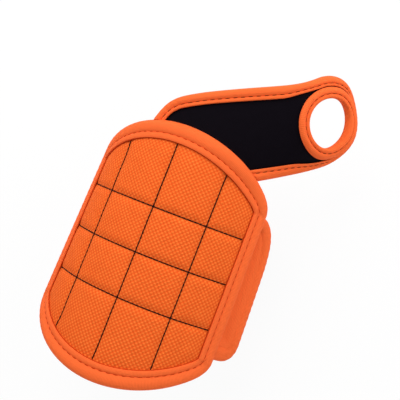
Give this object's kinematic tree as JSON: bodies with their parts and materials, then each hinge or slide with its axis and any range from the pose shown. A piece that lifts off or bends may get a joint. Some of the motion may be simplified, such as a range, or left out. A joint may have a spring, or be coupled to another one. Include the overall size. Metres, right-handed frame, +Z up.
{
  "type": "magnetic wristband",
  "caption": "Padded forearm cuff with a quilted panel of hidden magnets for holding small hardware, closed by a wrap band and a tab, with a hand strap that ends in a thumb hole.",
  "frame": {"origin": "middle of the flat underside of the closed cuff, the face it rests on", "axes": "+Z up through the arm to the panel, +Y along the arm to the hand, +X to the thumb"},
  "size_m": [0.1184, 0.1731, 0.079],
  "materials": {
    "orange_cloth": "coarse woven",
    "orange_tape": "fine ribbed tape",
    "black_cloth": "flat knit",
    "loop_cloth": "brushed loop pile",
    "black_mesh": "spacer mesh",
    "foam": "open-cell foam",
    "hook_plastic": "moulded hooks",
    "magnet_steel": "plated"
  },
  "bodies": {
    "panel": {"panel_face": "orange_cloth", "foam_core": "foam", "panel_lining": "black_mesh", "panel_binding": "orange_tape", "magnet_1_1": "magnet_steel", "magnet_1_2": "magnet_steel", "magnet_1_3": "magnet_steel", "magnet_1_4": "magnet_steel", "magnet_2_1": "magnet_steel", "magnet_2_2": "magnet_steel", "magnet_2_3": "magnet_steel", "magnet_2_4": "magnet_steel", "magnet_3_1": "magnet_steel", "magnet_3_2": "magnet_steel", "magnet_3_3": "magnet_steel", "magnet_3_4": "magnet_steel", "magnet_4_1": "magnet_steel", "magnet_4_2": "magnet_steel", "magnet_4_3": "magnet_steel", "magnet_4_4": "magnet_steel"},
    "closing_tab": {"tab_face": "orange_cloth", "hook_tape": "hook_plastic", "tab_binding": "orange_tape"},
    "wrap_band": {"band_face": "orange_cloth", "band_lining": "black_mesh", "loop_patch": "loop_cloth", "band_binding": "orange_tape"},
    "hand_strap": {"strap_face": "black_cloth", "strap_lining": "black_mesh", "strap_binding": "orange_tape", "thumb_hole_binding": "orange_tape"}
  },
  "joints": [
    {"name": "band_opens", "type": "hinge", "parent": "panel", "child": "wrap_band", "pos_m": [-0.04695, 0, 0.04792], "axis": [0.0254, 0.997, -0.0725], "range_deg": [0, 90]},
    {"name": "tab_peels", "type": "hinge", "parent": "panel", "child": "closing_tab", "pos_m": [0.04467, 0, 0.047], "axis": [0.0269, -0.9973, 0.0688], "range_deg": [0, 70]},
    {"name": "strap_lifts", "type": "hinge", "parent": "panel", "child": "hand_strap", "pos_m": [0.01262, 0.06243, 0.07043], "axis": [0.9721, -0.1768, -0.1541], "range_deg": [0, 40]}
  ]
}
